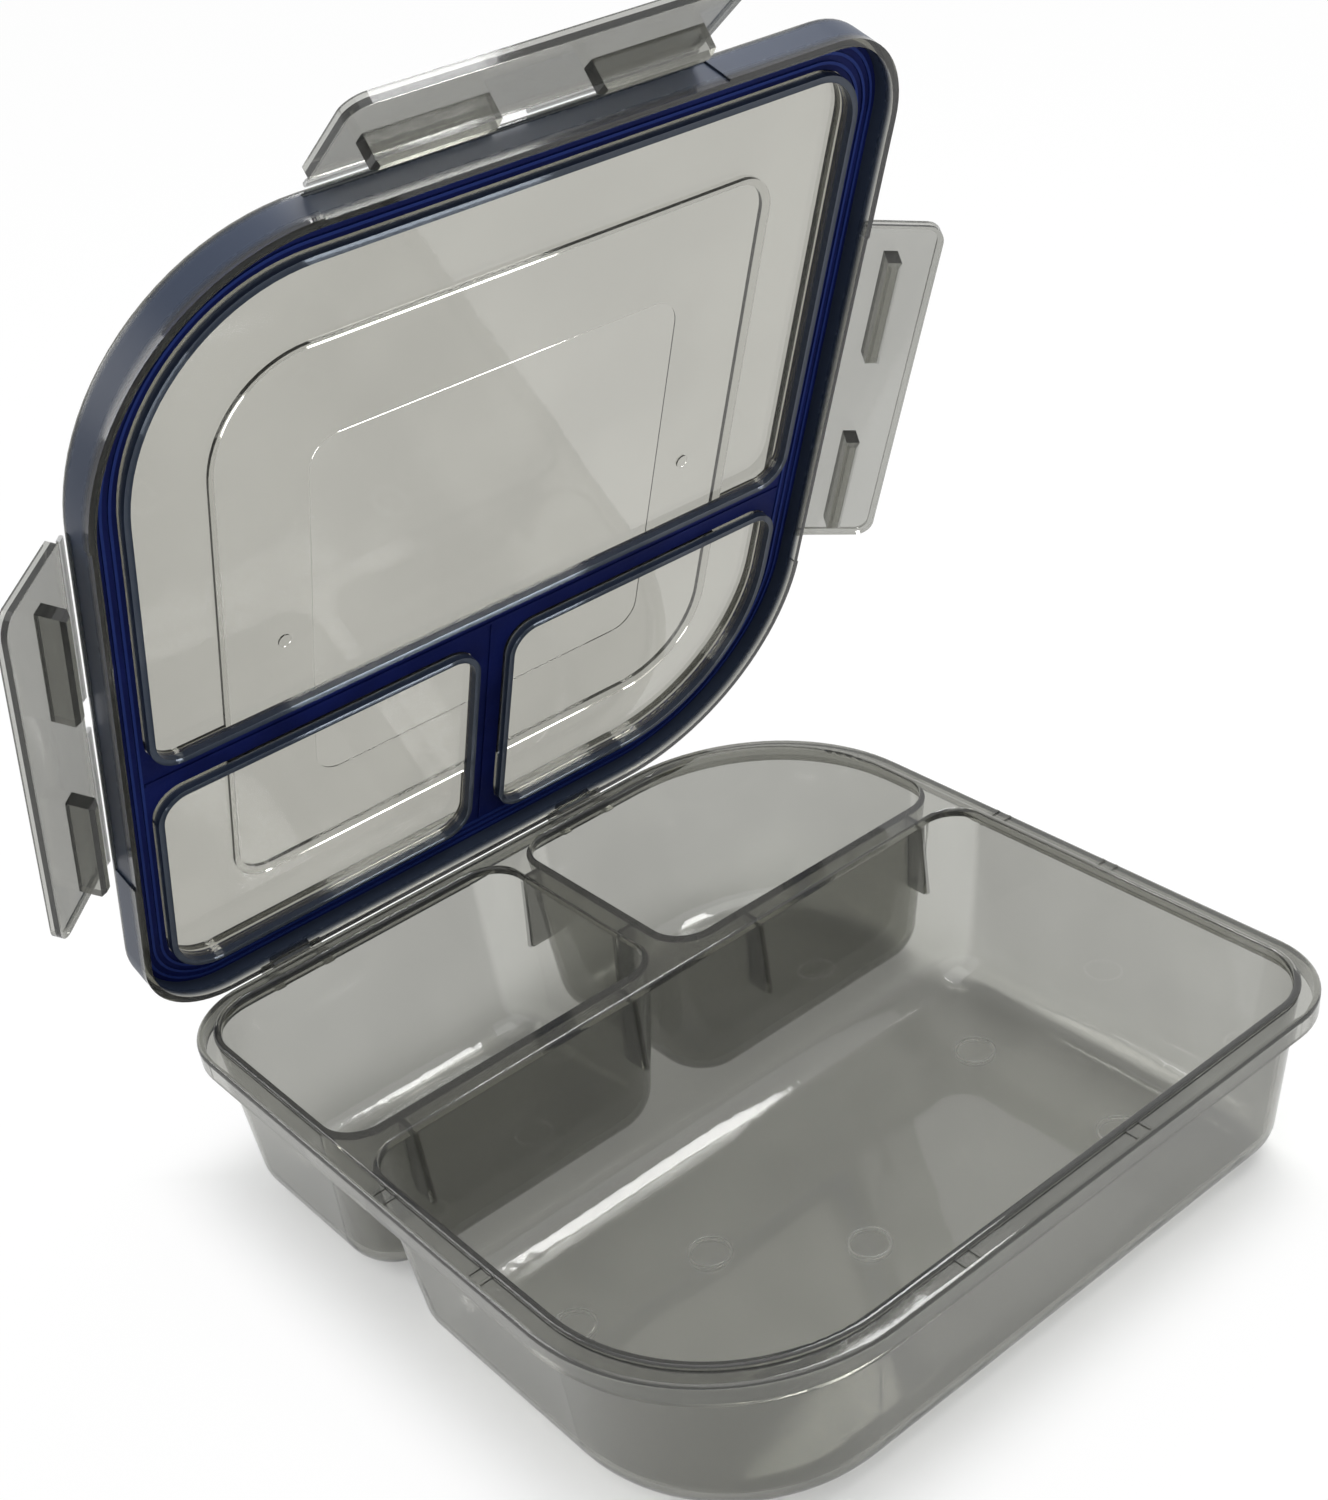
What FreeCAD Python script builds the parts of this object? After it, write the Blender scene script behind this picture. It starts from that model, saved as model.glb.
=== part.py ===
import FreeCAD, Part
import math
import os

os.makedirs("parts", exist_ok=True)

# Lunch box with three bowls, a clear hinged lid, a seal and three locking flaps, in millimetres.
# The origin is on the table under the middle of the tray: X along the hinge, Y to the rear, Z up.

# Outline of the tray seen from above, a leaf with two tight and two wide corners
length = 200.0
width = 198.0
tight_corner = 21.0
wide_corner_share = 0.26

# Tray
rim_height = 50.0
wall = 1.8
floor_wall = 2.0
draft = 3.2
floor_round = 12.0
flange_wall = 1.8
skirt_drop = 5.5
skirt_wall = 1.6
rim_round = 1.2
mouth_inset = 6.2
lip_wall = 1.8
lip_height = 1.0
lip_round = 0.7
divider_width = 7.0
main_divider_share = 0.12
short_divider_x = 1.0
bowl_corner = 9.0
gusset_wall = 1.1
gusset_drop = 22.0
main_gussets = (-80.0, -16.0, 25.0, 82.0)
short_gussets = (44.0, 82.0)
rib_length = 3.4
rib_width = 0.8
rib_height = 0.4
rib_pair_gap = 4.0
side_ribs = (-28.0, 7.0)
front_ribs = (-26.0, 26.0)

# Lid
lid_cover = 3.8
lid_overhang = 2.2
lid_height = 10.2
lid_skirt_wall = 1.8
lid_roof = 1.8
lid_edge_round = 1.6
border_width = 10.5
panel_wall = 1.8
panel_depth = 1.8
step_drop = 1.0
step_inset = 29.0
step_corner = 8.0
pad_inset = 51.0
pad_corner = 7.0
pad_depth = 0.3
window_wall = 1.5
window_clearance = 0.9
window_drop = 2.5
flap_recess = 0.5
recess_end_gap = 2.0
gate_nub = 1.6
gate_nub_height = 0.4
gate_x = 57.0

# Seal
seal_clearance = 0.1
seal_face = 0.8
seal_ridge = 0.4
seal_ridge_width = 0.7
seal_ridges = (0.22, 0.5, 0.78)

# Rear hinge, bars on the tray and snap-on clips on the lid
hinge_end_gap = 9.0
hinge_drop = 3.0
hinge_offset = 3.6
bar_radius = 0.9
bar_length = 12.0
bar_fit = 0.08
clip_wall = 0.9
clip_side_gap = 0.5
clip_mouth = 1.5
cheek_wall = 2.6
cheek_rim = 0.2
arm_wall = 1.6
arm_clearance = 0.4

# Locking flaps
flap_length = 93.0
flap_width = 26.0
flap_wall = 1.6
flap_gap = 0.5
flap_corner = 4.5
flap_rim_wall = 1.3
flap_rim_height = 2.4
film_axis_gap = 0.6
film_axis_drop = 0.6
film_radius = 0.5
film_wall = 0.8
film_width = 1.4
film_split = 9.0
catch_length = 28.0
catch_centre = 26.0
catch_width = 3.5
catch_reach = 6.0
catch_clearance = 0.3
catch_chamfer = 0.9

# Pose in which the box is shown, angles from the closed and locked position
lid_angle = 70.0
front_angle = 56.0
left_angle = 53.0
right_angle = 58.0

# Levels that follow from the sizes above
wide_corner = wide_corner_share * min(length, width)
main_divider_y = main_divider_share * width
lip_top = rim_height + lip_height
lid_bottom = rim_height - lid_cover
lid_top = lid_bottom + lid_height
recess_top = lid_top - panel_depth
panel_under = recess_top - panel_wall
roof_under = lid_top - lid_roof
hinge_y = width / 2 + hinge_offset
hinge_z = rim_height - hinge_drop
hinge_middle = (tight_corner - wide_corner) / 2
hinge_spread = (length - tight_corner - wide_corner - bar_length) / 2 - cheek_wall - hinge_end_gap
hinge_places = (hinge_middle - hinge_spread, hinge_middle + hinge_spread)
film_z = lid_top - film_axis_drop
catch_top = rim_height - skirt_drop - catch_clearance
seal_bottom = lip_top + seal_face
window_bottom = seal_bottom - window_drop

x_axis = FreeCAD.Vector(1, 0, 0)
z_axis = FreeCAD.Vector(0, 0, 1)
origin = FreeCAD.Vector(0, 0, 0)
hinge_point = FreeCAD.Vector(0, hinge_y, hinge_z)


# Rectangle with four corner radii, in the order front left, front right, rear right, rear left
def rounded_wire(sides, radii, z):
    x0, x1, y0, y1 = sides
    corners = ((x0, y0, 1, 1), (x1, y0, -1, 1), (x1, y1, -1, -1), (x0, y1, 1, -1))
    starts = []
    for (x, y, sx, sy), r in zip(corners, radii):
        centre = FreeCAD.Vector(x + sx * r, y + sy * r, z)
        along_x = FreeCAD.Vector(x + sx * r, y, z)
        along_y = FreeCAD.Vector(x, y + sy * r, z)
        middle = centre - FreeCAD.Vector(sx, sy, 0) * (r / math.sqrt(2))
        ends = (along_y, along_x) if sx == sy else (along_x, along_y)
        starts.append((ends[0], middle, ends[1]))
    edges = []
    for i, (begin, middle, end) in enumerate(starts):
        edges.append(Part.Arc(begin, middle, end).toShape())
        edges.append(Part.LineSegment(end, starts[(i + 1) % 4][0]).toShape())
    return Part.Wire(edges)


def prism(sides, radii, z0, z1):
    face = Part.Face(rounded_wire(sides, radii, z0))
    return face.extrude(FreeCAD.Vector(0, 0, z1 - z0))


def grow_sides(sides, amount):
    x0, x1, y0, y1 = sides
    return (x0 - amount, x1 + amount, y0 - amount, y1 + amount)


def grow_radii(radii, amount):
    return tuple(max(r + amount, 0.5) for r in radii)


# Outline of the whole box, moved outwards by an amount
def leaf(amount):
    sides = (-length / 2, length / 2, -width / 2, width / 2)
    radii = (wide_corner, tight_corner, wide_corner, tight_corner)
    return grow_sides(sides, amount), grow_radii(radii, amount)


def leaf_prism(amount, z0, z1):
    sides, radii = leaf(amount)
    return prism(sides, radii, z0, z1)


# Mouths of the three bowls at the sealing lip
def mouths():
    (x0, x1, y0, y1), (wide, tight, _, _) = leaf(-mouth_inset)
    front_y = main_divider_y - divider_width / 2
    rear_y = main_divider_y + divider_width / 2
    left_x = short_divider_x - divider_width / 2
    right_x = short_divider_x + divider_width / 2
    c = bowl_corner
    return (
        ((x0, x1, y0, front_y), (wide, tight, c, c)),
        ((x0, left_x, rear_y, y1), (c, c, c, tight)),
        ((right_x, x1, rear_y, y1), (c, c, wide, c)),
    )


def box(x0, x1, y0, y1, z0, z1):
    return Part.makeBox(x1 - x0, y1 - y0, z1 - z0, FreeCAD.Vector(x0, y0, z0))


def edges_at(shape, z):
    found = []
    for edge in shape.Edges:
        bounds = edge.BoundBox
        if abs(bounds.ZMin - z) < 1e-4 and abs(bounds.ZMax - z) < 1e-4:
            found.append(edge)
    return found


# Drafted bowl with a rounded bottom edge, from the lip down to a level
def bowl(mouth, amount, bottom, edge_round):
    sides, radii = mouth
    sides = grow_sides(sides, amount)
    radii = grow_radii(radii, amount)
    taper = (lip_top - bottom) * math.tan(math.radians(draft))
    low_radii = tuple(max(r - taper, edge_round + 2 * wall) for r in radii)
    top_wire = rounded_wire(sides, radii, lip_top)
    low_wire = rounded_wire(grow_sides(sides, -taper), low_radii, bottom)
    solid = Part.makeLoft([top_wire, low_wire], True, True)
    return solid.makeFillet(edge_round, edges_at(solid, bottom))


# Pairs of small locating ribs across the flange
def flange_ribs():
    lip_edge = mouth_inset - lip_wall
    inner = lip_edge - (lip_edge - rim_round - rib_length) / 2
    z0 = rim_height - flange_wall / 2
    z1 = rim_height + rib_height
    ribs = []
    for offset in (-rib_pair_gap / 2, rib_pair_gap / 2):
        for y in side_ribs:
            for side in (-1, 1):
                x0 = side * (length / 2 - inner)
                x1 = side * (length / 2 - inner + rib_length)
                middle = y + offset
                ribs.append(box(min(x0, x1), max(x0, x1), middle - rib_width / 2, middle + rib_width / 2, z0, z1))
        for x in front_ribs:
            y0 = -width / 2 + inner - rib_length
            middle = x + offset
            ribs.append(box(middle - rib_width / 2, middle + rib_width / 2, y0, y0 + rib_length, z0, z1))
    return ribs


# Thin webs inside the hollow dividers
def gussets():
    z0 = rim_height - gusset_drop
    reach = divider_width / 2 + wall / 2
    webs = []
    for x in main_gussets:
        webs.append(box(x - gusset_wall / 2, x + gusset_wall / 2,
                        main_divider_y - reach, main_divider_y + reach, z0, rim_height))
    for y in short_gussets:
        webs.append(box(short_divider_x - reach, short_divider_x + reach,
                        y - gusset_wall / 2, y + gusset_wall / 2, z0, rim_height))
    return webs


# Two short bars between cheeks on arms from the rear skirt, which the lid clips onto
def tray_hinges():
    cheek_round = bar_radius + cheek_rim
    arm_top = lid_bottom - arm_clearance
    pieces = []
    for middle in hinge_places:
        start = FreeCAD.Vector(middle - bar_length / 2, hinge_y, hinge_z)
        pieces.append(Part.makeCylinder(bar_radius, bar_length, start, x_axis))
        for x0 in (middle - bar_length / 2 - cheek_wall, middle + bar_length / 2):
            boss = Part.makeCylinder(cheek_round, cheek_wall, FreeCAD.Vector(x0, hinge_y, hinge_z), x_axis)
            under = box(x0, x0 + cheek_wall, width / 2 - skirt_wall, hinge_y + cheek_round,
                        arm_top - arm_wall, arm_top)
            post = box(x0, x0 + cheek_wall, hinge_y - cheek_round, hinge_y + cheek_round,
                       arm_top - arm_wall, hinge_z)
            pieces.append(boss.multiFuse([under, post]))
    return pieces


def make_tray():
    flange = leaf_prism(0, rim_height - skirt_drop, rim_height)
    flange = flange.makeFillet(rim_round, edges_at(flange, rim_height))
    flange = flange.cut(leaf_prism(-skirt_wall, rim_height - skirt_drop, rim_height - flange_wall))
    cavities = Part.makeCompound([bowl(mouth, 0, floor_wall, floor_round - wall) for mouth in mouths()])
    lip = leaf_prism(lip_wall - mouth_inset, rim_height - flange_wall, lip_top).cut(cavities)
    lip = lip.makeFillet(lip_round, edges_at(lip, lip_top))
    shells = [bowl(mouth, wall, 0, floor_round).common(leaf_prism(0, 0, rim_height)) for mouth in mouths()]
    body = flange.multiFuse(shells + gussets() + flange_ribs() + tray_hinges())
    return body.cut(cavities).fuse(lip).removeSplitter()


# Walls round the windows of the lid drop just inside the bowls' mouths
def window_prisms(amount, z0, z1):
    return [prism(grow_sides(sides, amount), grow_radii(radii, amount), z0, z1) for sides, radii in mouths()]


# Space for the seal: between the skirt and the window walls, shallower over the dividers
def seal_space(shrink, z0, clear):
    ring = leaf_prism(lid_overhang - lid_skirt_wall - shrink, z0, roof_under - clear)
    over_dividers = leaf_prism(-mouth_inset, panel_under - clear, roof_under)
    walls = window_prisms(shrink - window_clearance, z0, roof_under)
    return ring.cut(over_dividers).cut(Part.makeCompound(walls))


# Snap-on clip round each hinge bar, on the outside of the rear skirt
def lid_clips():
    inner = bar_radius + bar_fit
    outer = inner + clip_wall
    clip_length = bar_length - 2 * clip_side_gap
    clips = []
    for middle in hinge_places:
        x0 = middle - clip_length / 2
        start = FreeCAD.Vector(x0, hinge_y, hinge_z)
        ring = Part.makeCylinder(outer, clip_length, start, x_axis)
        bridge = box(x0, x0 + clip_length, width / 2 + lid_overhang - lid_skirt_wall / 2, hinge_y,
                     hinge_z, hinge_z + outer)
        hole = Part.makeCylinder(inner, clip_length, start, x_axis)
        mouth = box(x0, x0 + clip_length, hinge_y - clip_mouth / 2, hinge_y + clip_mouth / 2,
                    hinge_z - 2 * outer, hinge_z)
        clips.append(ring.fuse(bridge).cut(hole).cut(mouth))
    return clips


# Shallow recesses in the skirt behind the flaps
def flap_recesses():
    half = flap_length / 2 + recess_end_gap
    x1 = length / 2 + lid_overhang
    y1 = width / 2 + lid_overhang
    z1 = film_z - film_width
    return [
        box(-x1, -x1 + flap_recess, -half, half, lid_bottom, z1),
        box(x1 - flap_recess, x1, -half, half, lid_bottom, z1),
        box(-half, half, -y1, -y1 + flap_recess, lid_bottom, z1),
    ]


def make_lid():
    body = leaf_prism(lid_overhang, lid_bottom, lid_top)
    body = body.makeFillet(lid_edge_round, edges_at(body, lid_top))
    border = leaf_prism(lid_overhang - border_width, recess_top, lid_top)
    step_sides, step_radii = leaf(-step_inset)
    step_radii = tuple(max(r, step_corner) for r in step_radii)
    step = prism(step_sides, step_radii, recess_top - step_drop, recess_top)
    pad_sides, _ = leaf(-pad_inset)
    pad = prism(pad_sides, (pad_corner,) * 4, recess_top - step_drop - pad_depth, recess_top)
    panel_space = Part.makeCompound(window_prisms(-window_clearance - window_wall, lid_bottom, panel_under))
    under_sides, under_radii = grow_sides(step_sides, panel_wall), grow_radii(step_radii, panel_wall)
    sunk_panel = prism(under_sides, under_radii, panel_under - step_drop, panel_under)
    nubs = []
    for side in (-1, 1):
        start = FreeCAD.Vector(side * gate_x, 0, panel_under - step_drop - gate_nub_height)
        nubs.append(Part.makeCylinder(gate_nub, gate_nub_height, start))
    body = body.cut(border).cut(step).cut(pad)
    body = body.cut(seal_space(0, lid_bottom, 0))
    body = body.cut(panel_space.cut(sunk_panel))
    body = body.cut(leaf_prism(lid_overhang - lid_skirt_wall, lid_bottom, window_bottom))
    body = body.cut(Part.makeCompound(flap_recesses()))
    return body.multiFuse(nubs + lid_clips()).removeSplitter()


# Ridges of the seal, rings between the skirt and the window walls
def seal_ridge_rings():
    outer = lid_overhang - lid_skirt_wall - seal_clearance
    inner = -mouth_inset - window_clearance + seal_clearance
    z0 = seal_bottom - seal_ridge
    rings = []
    for share in seal_ridges:
        middle = outer + (inner - outer) * share
        ring = leaf_prism(middle + seal_ridge_width / 2, z0, seal_bottom)
        rings.append(ring.cut(leaf_prism(middle - seal_ridge_width / 2, z0, seal_bottom)))
    return rings


# Ridges of the seal along the dividers
def seal_bar_ridges():
    (x0, x1, _, y1), _ = leaf(-mouth_inset)
    half = seal_ridge_width / 2
    z0 = seal_bottom - seal_ridge
    main = box(x0, x1, main_divider_y - half, main_divider_y + half, z0, seal_bottom)
    short = box(short_divider_x - half, short_divider_x + half, main_divider_y, y1, z0, seal_bottom)
    return [main, short]


def make_gasket():
    body = seal_space(seal_clearance, seal_bottom, seal_clearance)
    return body.multiFuse(seal_ridge_rings() + seal_bar_ridges()).removeSplitter()


# Flap hanging locked at the front, for a side of the box at a given half extent
def make_flap(half):
    inner = -(half + lid_overhang + flap_gap)
    top = film_z - film_width
    bottom = film_z - flap_width
    edge = 1.0
    sides = (-flap_length / 2, flap_length / 2, bottom, top)
    radii = (flap_corner, flap_corner, edge, edge)
    upright = FreeCAD.Placement(origin, FreeCAD.Rotation(x_axis, 90))
    plate = prism(sides, radii, 0, flap_wall)
    rim = prism(sides, radii, 0, flap_rim_height)
    hollow_sides = (sides[0] + flap_rim_wall, sides[1] - flap_rim_wall, bottom + flap_rim_wall, top + edge)
    hollow_radii = (flap_corner - flap_rim_wall, flap_corner - flap_rim_wall, edge, edge)
    rim = rim.cut(prism(hollow_sides, hollow_radii, 0, flap_rim_height))
    flap = plate.fuse(rim)
    flap.Placement = upright
    flap.translate(FreeCAD.Vector(0, inner, 0))
    catches = []
    for side in (-1, 1):
        x0 = side * catch_centre - catch_length / 2
        bar = box(x0, x0 + catch_length, inner, inner + catch_reach, catch_top - catch_width, catch_top)
        tip = [e for e in bar.Edges if abs(e.BoundBox.YMin - inner - catch_reach) < 1e-4]
        catches.append(bar.makeChamfer(catch_chamfer, tip))
    return flap.multiFuse(catches).removeSplitter()


# Two thin strips along the top of a flap, round about the axis that the flap turns on
def make_film(half):
    y = -(half + lid_overhang + film_axis_gap)
    run = (flap_length - film_split) / 2
    strips = []
    for x0 in (-flap_length / 2, film_split / 2):
        roll = Part.makeCylinder(film_radius, run, FreeCAD.Vector(x0, y, film_z), x_axis)
        web = box(x0, x0 + run, y - film_wall / 2, y + film_wall / 2, film_z - film_width, film_z)
        strips.append(roll.fuse(web).removeSplitter())
    return Part.makeCompound(strips)


# Opens a flap about its film, turns it to its side and swings it with the lid
def place_flap(shape, half, turn, angle):
    axis = FreeCAD.Vector(0, -(half + lid_overhang + film_axis_gap), film_z)
    placed = shape.copy()
    placed.rotate(axis, x_axis, -angle)
    placed.rotate(origin, z_axis, turn)
    placed.rotate(hinge_point, x_axis, -lid_angle)
    return placed


def open_with_lid(shape):
    placed = shape.copy()
    placed.rotate(hinge_point, x_axis, -lid_angle)
    return placed


make_tray().exportStep("parts/tray.step")
open_with_lid(make_lid()).exportStep("parts/lid.step")
open_with_lid(make_gasket()).exportStep("parts/gasket.step")
for name, half, turn, angle in (
    ("front", width / 2, 0, front_angle),
    ("left", length / 2, -90, left_angle),
    ("right", length / 2, 90, right_angle),
):
    place_flap(make_flap(half), half, turn, angle).exportStep("parts/" + name + "_flap.step")
    place_flap(make_film(half), half, turn, angle).exportStep("parts/" + name + "_flap_film.step")
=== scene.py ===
import math

import bpy
from mathutils import Matrix, Vector

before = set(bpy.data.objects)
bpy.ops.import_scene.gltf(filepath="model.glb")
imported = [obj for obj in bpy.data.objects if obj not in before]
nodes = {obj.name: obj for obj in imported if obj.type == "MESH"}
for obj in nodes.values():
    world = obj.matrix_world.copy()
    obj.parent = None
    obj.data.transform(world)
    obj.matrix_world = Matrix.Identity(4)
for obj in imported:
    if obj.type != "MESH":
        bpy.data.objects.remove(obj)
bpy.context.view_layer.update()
scene = bpy.context.scene
print("frame loaded:", len(nodes), "nodes")


# shader wiring: one class wraps a socket, so that expressions add Math nodes
class Wire:
    def __init__(self, tree, socket):
        self.tree = tree
        self.socket = socket

    def maths(self, operation, first, second):
        return addNode(self.tree, "ShaderNodeMath", {"operation": operation}, i0=first, i1=second)

    def __add__(self, other):
        return self.maths("ADD", self, other)

    __radd__ = __add__

    def __mul__(self, other):
        return self.maths("MULTIPLY", self, other)

    __rmul__ = __mul__

    def __sub__(self, other):
        return self.maths("SUBTRACT", self, other)

    def __rsub__(self, other):
        return self.maths("SUBTRACT", other, self)

    def __pow__(self, other):
        return self.maths("POWER", self, other)

    def largest(self, other):
        return self.maths("MAXIMUM", self, other)

    def smallest(self, other):
        return self.maths("MINIMUM", self, other)

    def size(self):
        return self.maths("ABSOLUTE", self, 0.0)

    # 0 below low, 1 above high, smooth between
    def ramp(self, low, high):
        return addNode(self.tree, "ShaderNodeMapRange", {"interpolation_type": "SMOOTHSTEP"},
                       Value=self, From_Min=low, From_Max=high, To_Min=0.0, To_Max=1.0)

    # 1 within reach of a value, 0 past reach and fade
    def near(self, middle, reach, fade):
        return 1.0 - (self - middle).size().ramp(reach, reach + fade)


# makes any node: settings first, then sockets by name, or by number as i0, i1
def addNode(tree, kind, settings=None, out=0, **sockets):
    made = tree.nodes.new(kind)
    for name, value in (settings or {}).items():
        if name == "stops":
            for stop, (place, colour) in zip(made.color_ramp.elements, value):
                stop.position = place
                stop.color = (*colour, 1.0)
        else:
            setattr(made, name, value)
    for name, value in sockets.items():
        numbered = name[0] == "i" and name[1:].isdigit()
        place = made.inputs[int(name[1:]) if numbered else name.replace("_", " ")]
        if isinstance(value, Wire):
            tree.links.new(value.socket, place)
        else:
            place.default_value = value
    return Wire(tree, made.outputs[out]) if made.outputs else None


def newMaterial(name):
    made = bpy.data.materials.new(name)
    made.use_nodes = True
    made.node_tree.nodes.clear()
    return made, made.node_tree


def objectPlace(tree):
    return addNode(tree, "ShaderNodeTexCoord", out="Object")


def axes(tree, place):
    return [addNode(tree, "ShaderNodeSeparateXYZ", out=i, Vector=place) for i in range(3)]


def noise(tree, place, scale, detail=2.0, roughness=0.5):
    return addNode(tree, "ShaderNodeTexNoise", Vector=place, Scale=scale, Detail=detail, Roughness=roughness)


# colour that goes from first to second with a mask, either may be a plain colour
def blend(tree, mask, first, second):
    first, second = (value if isinstance(value, Wire) else (*value, 1.0) for value in (first, second))
    return addNode(tree, "ShaderNodeMix", {"data_type": "RGBA"}, out=2, i0=mask, i6=first, i7=second)


# 1 where the camera, a reflection or a clear wall looks, 0 for light
def lookedAt(tree):
    camera, glossy, through = (addNode(tree, "ShaderNodeLightPath", out="Is " + ray + " Ray")
                               for ray in ("Camera", "Glossy", "Transmission"))
    return camera.largest(glossy).largest(through)


# smoky clear plastic: absorbs per metre of path, so edges seen along a wall go dark
smokyLooks = {
    "traySmoke": {"tint": (0.592, 0.592, 0.566), "clear": 0.935, "density": 150.0, "kept": (0.12, 0.12, 0.04),
                  "rough": 0.035, "wave": 0.12, "shine": 0.8},
    "lidSmoke": {"tint": (0.635, 0.627, 0.585), "clear": 0.975, "density": 140.0, "kept": (0.12, 0.12, 0.04),
                 "rough": 0.03, "wave": 0.15, "shine": 0.1},
    "flapSmoke": {"tint": (0.605, 0.605, 0.585), "clear": 0.95, "density": 150.0, "kept": (0.12, 0.12, 0.04),
                  "rough": 0.05, "wave": 0.15, "shine": 0.25},
    "filmSmoke": {"tint": (0.88, 0.88, 0.87), "clear": 0.6, "density": 30.0, "kept": (0.3, 0.3, 0.3),
                  "rough": 0.3, "wave": 0.1, "shine": 0.3},
}
# what all the plastics share: waviness, dust, how much darker the tint goes in patches
mouldLook = {"waves": 22.0, "dust": 420.0, "dustHeight": 0.04, "dustRough": 0.05, "patch": 0.94, "ior": 1.49}
# lid sizes in metres, as the closed lid lies, and the zones where the seal seen through is painted on, with a painted
# shade
lidForm = {
    "hinge": (0.0, 0.1026, 0.047), "open": 70.0, "half": (0.1022, 0.1012), "wide": 0.05368, "tight": 0.0232,
    "wallTop": 0.0514, "wallFade": 0.0006, "inside": -0.006, "insideFade": 0.001,
    "skirtInside": (-0.004, -0.003), "skirtBottom": (0.0465, 0.049), "skirtTop": (0.0535, 0.0555),
    "wallPaintedTint": (0.13, 0.17, 0.28), "skirtPaintedTint": (0.17, 0.215, 0.30), "skirtRough": 0.25,
    "paintedShadeColour": (0.03, 0.041, 0.068), "paintedShadeRough": 0.4, "paintedShadeShine": 0.15, "skirtCover": 0.88, "wallCover": 0.75,
}
# ejector rings on the tray's floor, in metres
ringForm = {
    "at": ((-0.0311, -0.0175), (-0.0682, -0.0124), (0.066, -0.0593), (-0.0032, -0.0428), (0.0656, -0.0125)),
    "radius": 0.005, "core": 0.0002, "fade": 0.0003, "top": (0.003, 0.004), "depth": 0.5, "rough": 0.25,
}
# the hollow dividers, in metres: walls painted lighter as painted light, and the webs inside painted dark as painted
# shade
dividerForm = {
    "mainY": 0.02376, "shortX": 0.001, "mainWebs": (-0.080, -0.016, 0.025, 0.082), "shortWebs": (0.044, 0.082),
    "webHalf": 0.0006, "webFade": 0.0003, "webReach": 0.0075, "webEndFade": 0.001, "webBottom": (0.028, 0.0285),
    "top": (0.0485, 0.049), "webPaintedShade": (0.25, 0.25, 0.24),
    "wallReach": 0.011, "wallFade": 0.002, "wallBottom": (0.004, 0.008), "wallPaintedTint": (0.70, 0.70, 0.672),
}


# closed-lid coordinates of a surface point: turned back about the hinge
def closedPlace(tree, place):
    turn = math.radians(lidForm["open"])
    hinge = Vector(lidForm["hinge"])
    moved = addNode(tree, "ShaderNodeMapping", {"vector_type": "POINT"}, Vector=place,
                    Location=hinge - Matrix.Rotation(turn, 3, "X") @ hinge, Rotation=(turn, 0.0, 0.0))
    return axes(tree, moved)


# distance to the lid's outline, below 0 inside: a rounded rectangle with two corner radii
def lidOutline(x, y):
    wide = (x * y).ramp(-1e-7, 1e-7)
    corner = wide * (lidForm["wide"] - lidForm["tight"]) + lidForm["tight"]
    across = x.size() - lidForm["half"][0] + corner
    along = y.size() - lidForm["half"][1] + corner
    outer = (across.largest(0.0) ** 2.0 + along.largest(0.0) ** 2.0) ** 0.5
    return outer + across.largest(along).smallest(0.0) - corner


# 1 on thin circles of the floor: distance to the circle's line under the line's width
def ringMask(x, y, z):
    rings = 0.0
    for acrossAt, alongAt in ringForm["at"]:
        far = ((x - acrossAt) ** 2.0 + (y - alongAt) ** 2.0) ** 0.5
        rings = far.near(ringForm["radius"], ringForm["core"], ringForm["fade"]) + rings
    return rings * (1.0 - z.ramp(*ringForm["top"]))


# 1 on the thin webs inside the dividers: close to a web's plane and to the divider's middle
def webMask(x, y, z):
    form = dividerForm
    webs = 0.0
    for along, across, places, middle in ((x, y, form["mainWebs"], form["mainY"]),
                                          (y, x, form["shortWebs"], form["shortX"])):
        inside = across.near(middle, form["webReach"], form["webEndFade"])
        for at in places:
            webs = along.near(at, form["webHalf"], form["webFade"]) * inside + webs
    return webs * z.ramp(*form["webBottom"]) * (1.0 - z.ramp(*form["top"]))


# 1 on the dividers' walls: close to the middle of the main one, or of the short one behind it
def dividerMask(x, y, z):
    form = dividerForm
    main = y.near(form["mainY"], form["wallReach"], form["wallFade"])
    behind = y.ramp(form["mainY"], form["mainY"] + form["wallFade"])
    short = x.near(form["shortX"], form["wallReach"], form["wallFade"]) * behind
    return main.largest(short) * z.ramp(*form["wallBottom"]) * (1.0 - z.ramp(*form["top"]))


# 1 on the walls round the windows, and 1 on the skirt
def lidZones(x, y, z):
    inset = lidOutline(x, y)
    below = 1.0 - z.ramp(lidForm["wallTop"] - lidForm["wallFade"], lidForm["wallTop"])
    walls = below * (1.0 - inset.ramp(lidForm["inside"] - lidForm["insideFade"], lidForm["inside"]))
    skirt = inset.ramp(*lidForm["skirtInside"]) * (1.0 - z.ramp(*lidForm["skirtTop"])) * z.ramp(*lidForm["skirtBottom"])
    return walls, skirt


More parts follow.
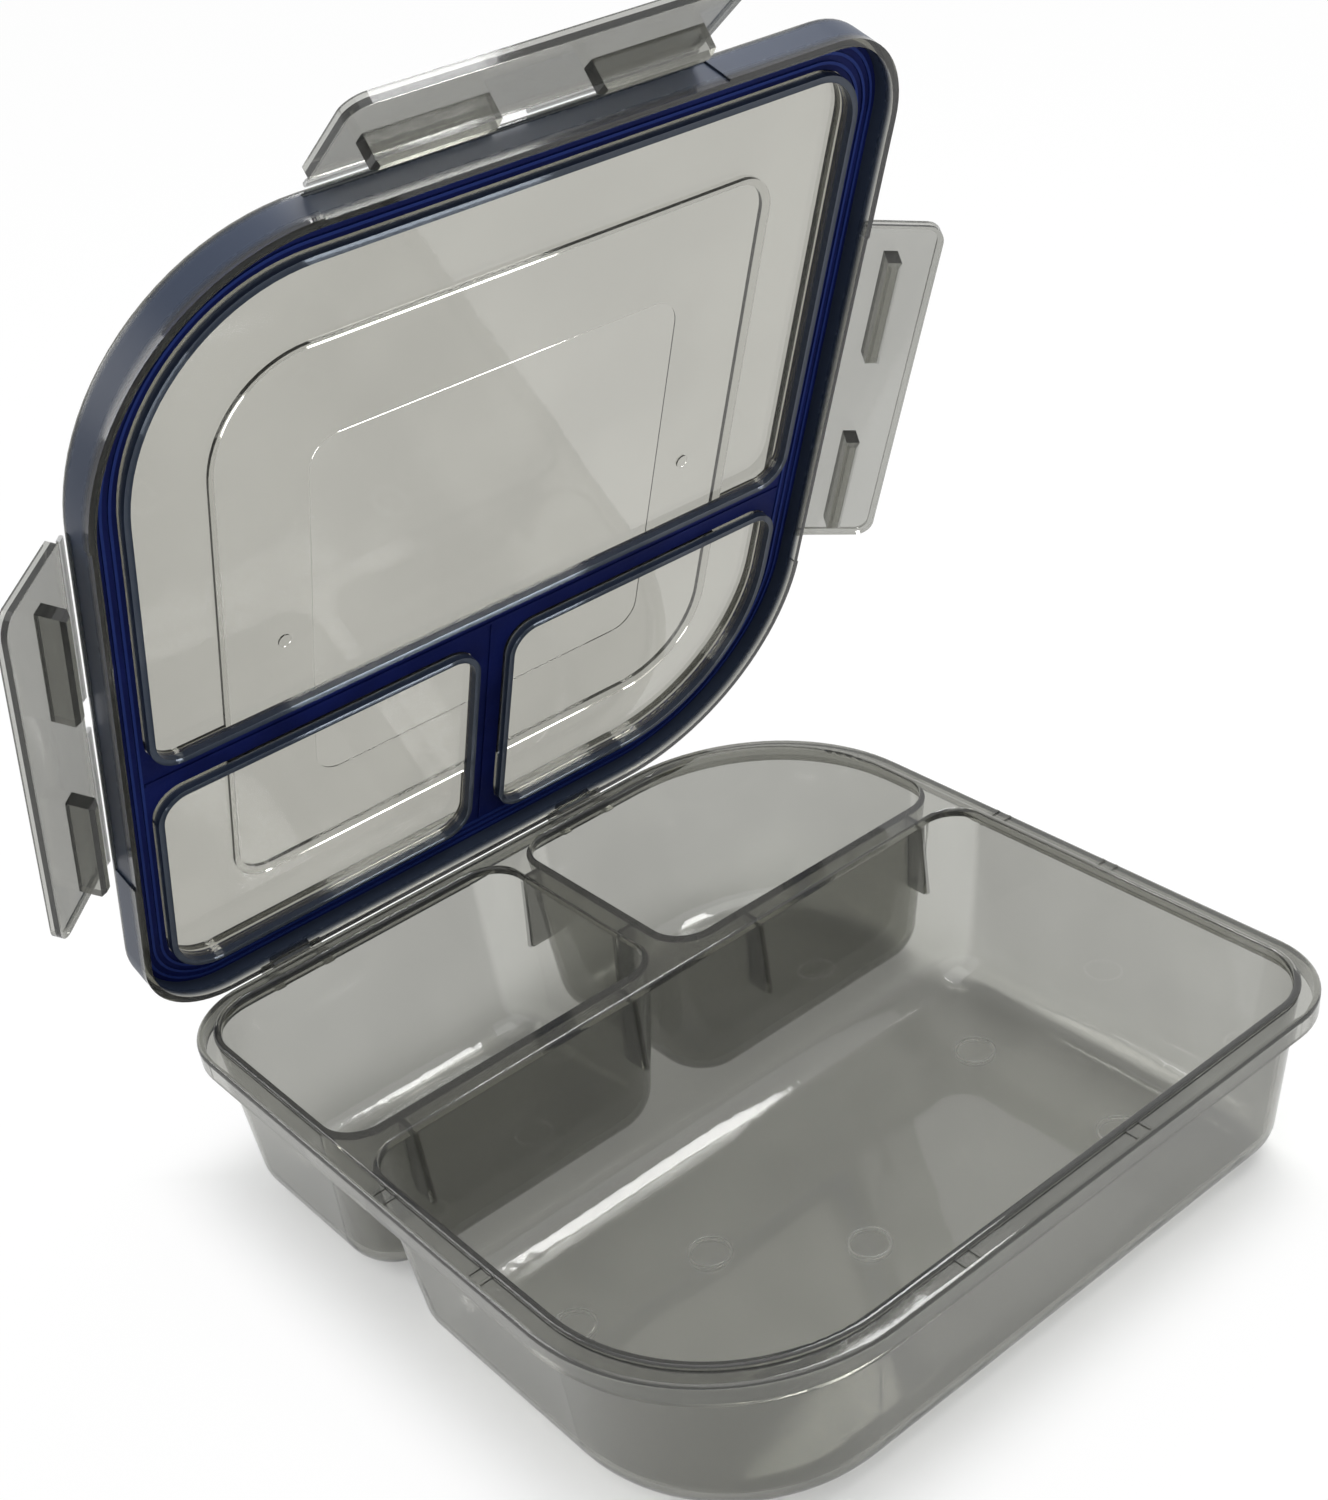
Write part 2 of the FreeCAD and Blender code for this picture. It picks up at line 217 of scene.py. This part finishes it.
def smokyMaterial(name):
    look = smokyLooks[name]
    made, tree = newMaterial(name)
    place = objectPlace(tree)
    slow = noise(tree, place, mouldLook["waves"])
    fine = noise(tree, place, mouldLook["dust"], 3.0, 0.6)
    height = slow + fine * mouldLook["dustHeight"]
    roughness = fine.ramp(0.45, 0.75) * mouldLook["dustRough"] + look["rough"]
    patch = tuple(mouldLook["patch"] * channel for channel in look["tint"])
    tint = blend(tree, slow.ramp(0.35, 0.65), look["tint"], patch)
    if name == "traySmoke":
        x, y, z = axes(tree, place)
        rings = ringMask(x, y, z)
        # painted light and painted shade: the dividers' walls are painted lighter, the webs inside them painted dark
        tint = blend(tree, dividerMask(x, y, z), tint, dividerForm["wallPaintedTint"])
        tint = blend(tree, webMask(x, y, z), tint, dividerForm["webPaintedShade"])
        height = height - rings * ringForm["depth"]
        roughness = roughness + rings * ringForm["rough"]
    if name == "lidSmoke":  # the seal's blue, as seen through the walls and the skirt, is painted into their colour
        walls, skirt = lidZones(*closedPlace(tree, place))
        tint = blend(tree, walls, tint, lidForm["wallPaintedTint"])
        tint = blend(tree, skirt, tint, lidForm["skirtPaintedTint"])
        roughness = roughness + skirt * lidForm["skirtRough"]
    bump = addNode(tree, "ShaderNodeBump", Strength=look["wave"], Distance=0.001, Height=height)
    surface = addNode(tree, "ShaderNodeBsdfPrincipled", Base_Color=tint, Roughness=roughness, IOR=mouldLook["ior"],
                      Specular_IOR_Level=look["shine"], Transmission_Weight=look["clear"], Normal=bump)
    if name == "lidSmoke":  # both also get a painted shade: an opaque dark slate-blue mixed in, for the seal seen through and to damp their bright reflections
        paintedShade = addNode(tree, "ShaderNodeBsdfPrincipled", Base_Color=(*lidForm["paintedShadeColour"], 1.0),
                          Roughness=lidForm["paintedShadeRough"], Specular_IOR_Level=lidForm["paintedShadeShine"])
        paintedShadeCover = skirt * lidForm["skirtCover"] + walls * lidForm["wallCover"]
        surface = addNode(tree, "ShaderNodeMixShader", i0=paintedShadeCover, i1=surface, i2=paintedShade)
    volume = addNode(tree, "ShaderNodeVolumeAbsorption", Color=(*look["kept"], 1.0), Density=look["density"])
    addNode(tree, "ShaderNodeOutputMaterial", Surface=surface, Volume=volume)
    return made


traySmoke = smokyMaterial("traySmoke")
lidSmoke = smokyMaterial("lidSmoke")
flapSmoke = smokyMaterial("flapSmoke")
filmSmoke = smokyMaterial("filmSmoke")
print("smoky plastics ready")


# navy silicone of the seal, its ridges at these distances from the lid's outline, their tops painted lighter as a
# painted highlight
siliconeLook = {
    "deep": (0.002, 0.006, 0.065), "lit": (0.005, 0.012, 0.11), "rough": 0.6, "grainRough": 0.15, "shine": 0.15,
    "ridgeHighlightColour": (0.016, 0.034, 0.18), "ridges": (-0.0035, -0.00555, -0.0076), "ridgeHalf": 0.00027, "ridgeFade": 0.00018,
}


def siliconeMaterial():
    look = siliconeLook
    made, tree = newMaterial("navySilicone")
    place = objectPlace(tree)
    cloud = noise(tree, place, 60.0, 3.0)
    grain = noise(tree, place, 1500.0, 2.0)
    colour = addNode(tree, "ShaderNodeValToRGB", {"stops": [(0.3, look["deep"]), (0.75, look["lit"])]}, Fac=cloud)
    x, y, z = closedPlace(tree, place)
    inset = lidOutline(x, y)
    ridgeHighlight = 0.0
    for at in look["ridges"]:
        ridgeHighlight = inset.near(at, look["ridgeHalf"], look["ridgeFade"]) + ridgeHighlight
    # painted highlight: the ridge tops are painted a lighter blue
    colour = blend(tree, ridgeHighlight, colour, look["ridgeHighlightColour"])
    bump = addNode(tree, "ShaderNodeBump", Strength=0.25, Distance=0.0002, Height=grain)
    surface = addNode(tree, "ShaderNodeBsdfPrincipled", Base_Color=colour, Specular_IOR_Level=look["shine"],
                      Roughness=grain * look["grainRough"] + look["rough"], Normal=bump)
    addNode(tree, "ShaderNodeOutputMaterial", Surface=surface)
    return made


navySilicone = siliconeMaterial()

finishes = {"tray": traySmoke, "lid": lidSmoke, "gasket": navySilicone}
for side in ("front", "left", "right"):
    finishes[side + "_flap"] = flapSmoke
    finishes[side + "_flap_film"] = filmSmoke
for name, finish in finishes.items():
    held = nodes[name].data.materials
    held.clear()
    held.append(finish)
print("finishes set on", len(finishes), "nodes")


# pale floor: white to the eye away from the tray, more of its real shade under it
floorLook = {"reach": 3.0, "level": -0.0002, "pale": (0.86, 0.86, 0.84), "half": (0.1, 0.099),
             "fade": (-0.01, 0.02), "under": 0.27, "open": 0.965}


def floorMaterial():
    made, tree = newMaterial("paleFloor")
    place = objectPlace(tree)
    x, y, z = axes(tree, place)
    outside = (x.size() - floorLook["half"][0]).largest(y.size() - floorLook["half"][1])
    away = outside.ramp(*floorLook["fade"]) * (floorLook["open"] - floorLook["under"]) + floorLook["under"]
    speck = noise(tree, place, 90.0, 3.0) * 0.04 + 0.96
    tint = addNode(tree, "ShaderNodeMix", {"data_type": "RGBA", "blend_type": "MULTIPLY"}, out=2,
                   i0=1.0, i6=(*floorLook["pale"], 1.0), i7=speck)
    diffuse = addNode(tree, "ShaderNodeBsdfDiffuse", Color=tint)
    white = addNode(tree, "ShaderNodeEmission", Color=(1.0, 1.0, 1.0, 1.0), Strength=1.0)
    mixed = addNode(tree, "ShaderNodeMixShader", i0=lookedAt(tree) * away, i1=diffuse, i2=white)
    addNode(tree, "ShaderNodeOutputMaterial", Surface=mixed)
    return made


def makeFloor():
    reach, level = floorLook["reach"], floorLook["level"]
    mesh = bpy.data.meshes.new("floor")
    corners = [(x * reach, y * reach, level) for x, y in ((-1, -1), (1, -1), (1, 1), (-1, 1))]
    mesh.from_pydata(corners, [], [(0, 1, 2, 3)])
    made = bpy.data.objects.new("floor", mesh)
    scene.collection.objects.link(made)
    mesh.materials.append(floorMaterial())


makeFloor()

# even world: soft as light, white where it is looked at
worldLook = {"soft": (0.95, 0.97, 1.0), "softStrength": 0.55, "seen": (1.0, 1.0, 1.0), "seenStrength": 1.0}


def makeWorld():
    world = bpy.data.worlds.new("studio")
    scene.world = world
    world.use_nodes = True
    tree = world.node_tree
    tree.nodes.clear()
    soft = addNode(tree, "ShaderNodeBackground", Color=(*worldLook["soft"], 1.0), Strength=worldLook["softStrength"])
    white = addNode(tree, "ShaderNodeBackground", Color=(*worldLook["seen"], 1.0), Strength=worldLook["seenStrength"])
    mixed = addNode(tree, "ShaderNodeMixShader", i0=lookedAt(tree), i1=soft, i2=white)
    addNode(tree, "ShaderNodeOutputWorld", Surface=mixed)


makeWorld()

# a wide lamp above, one from the left rear, and a strip that lights the tray's floor edges
lamps = {
    "topLamp": {"at": (-0.1, -0.2, 1.3), "towards": (0, 0, 0.05), "wide": 1.2, "high": 1.2, "watts": 5.0},
    "rearLamp": {"at": (-0.9, 0.8, 0.8), "towards": (0, 0, 0.1), "wide": 0.7, "high": 0.7, "watts": 6.0},
    "stripLamp": {"at": (0.42, 0.05, 0.95), "towards": (0, 0, 0), "wide": 0.22, "high": 1.0, "watts": 8.0},
}
for name, look in lamps.items():
    light = bpy.data.lights.new(name, "AREA")
    light.shape = "RECTANGLE"
    light.size = look["wide"]
    light.size_y = look["high"]
    light.energy = look["watts"]
    lamp = bpy.data.objects.new(name, light)
    away = (Vector(look["at"]) - Vector(look["towards"])).normalized()
    across = (Vector((1, 0, 0)) - away * away.x).normalized()
    turn = Matrix((across, away.cross(across), away)).transposed().to_4x4()
    lamp.matrix_world = Matrix.Translation(look["at"]) @ turn
    scene.collection.objects.link(lamp)

# camera fitted to the photograph's outlines, in pixels of 1328 x 1500
shot = {"wide": 1328.0, "high": 1500.0, "focal": 2050.0, "middle": (664.0, 1017.0), "sensor": 36.0,
        "azimuth": -35.63, "elevation": 37.67, "roll": -7.92, "distance": 0.55214,
        "target": (0.01756, 0.05582, 0.00549)}


def makeCamera():
    azimuth, elevation, roll = (math.radians(shot[angle]) for angle in ("azimuth", "elevation", "roll"))
    flat = math.cos(elevation)
    back = Vector((math.sin(azimuth) * flat, -math.cos(azimuth) * flat, math.sin(elevation)))
    level = Vector((math.cos(azimuth), math.sin(azimuth), 0.0))
    upright = back.cross(level)
    right = level * math.cos(roll) + upright * math.sin(roll)
    up = upright * math.cos(roll) - level * math.sin(roll)
    data = bpy.data.cameras.new("camera")
    data.sensor_fit = "HORIZONTAL"
    data.sensor_width = shot["sensor"]
    data.lens = shot["focal"] / shot["wide"] * shot["sensor"]
    data.shift_x = (shot["wide"] / 2 - shot["middle"][0]) / shot["wide"]
    data.shift_y = (shot["middle"][1] - shot["high"] / 2) / shot["wide"]
    data.clip_start = 0.01
    data.clip_end = 50.0
    made = bpy.data.objects.new("camera", data)
    turn = Matrix((right, up, back)).transposed().to_4x4()
    made.matrix_world = Matrix.Translation(Vector(shot["target"]) + back * shot["distance"]) @ turn
    scene.collection.objects.link(made)
    scene.camera = made


makeCamera()
scene.view_settings.view_transform = "Standard"
scene.cycles.max_bounces = 24
scene.cycles.transmission_bounces = 20
scene.cycles.transparent_max_bounces = 32
print("studio and camera ready")
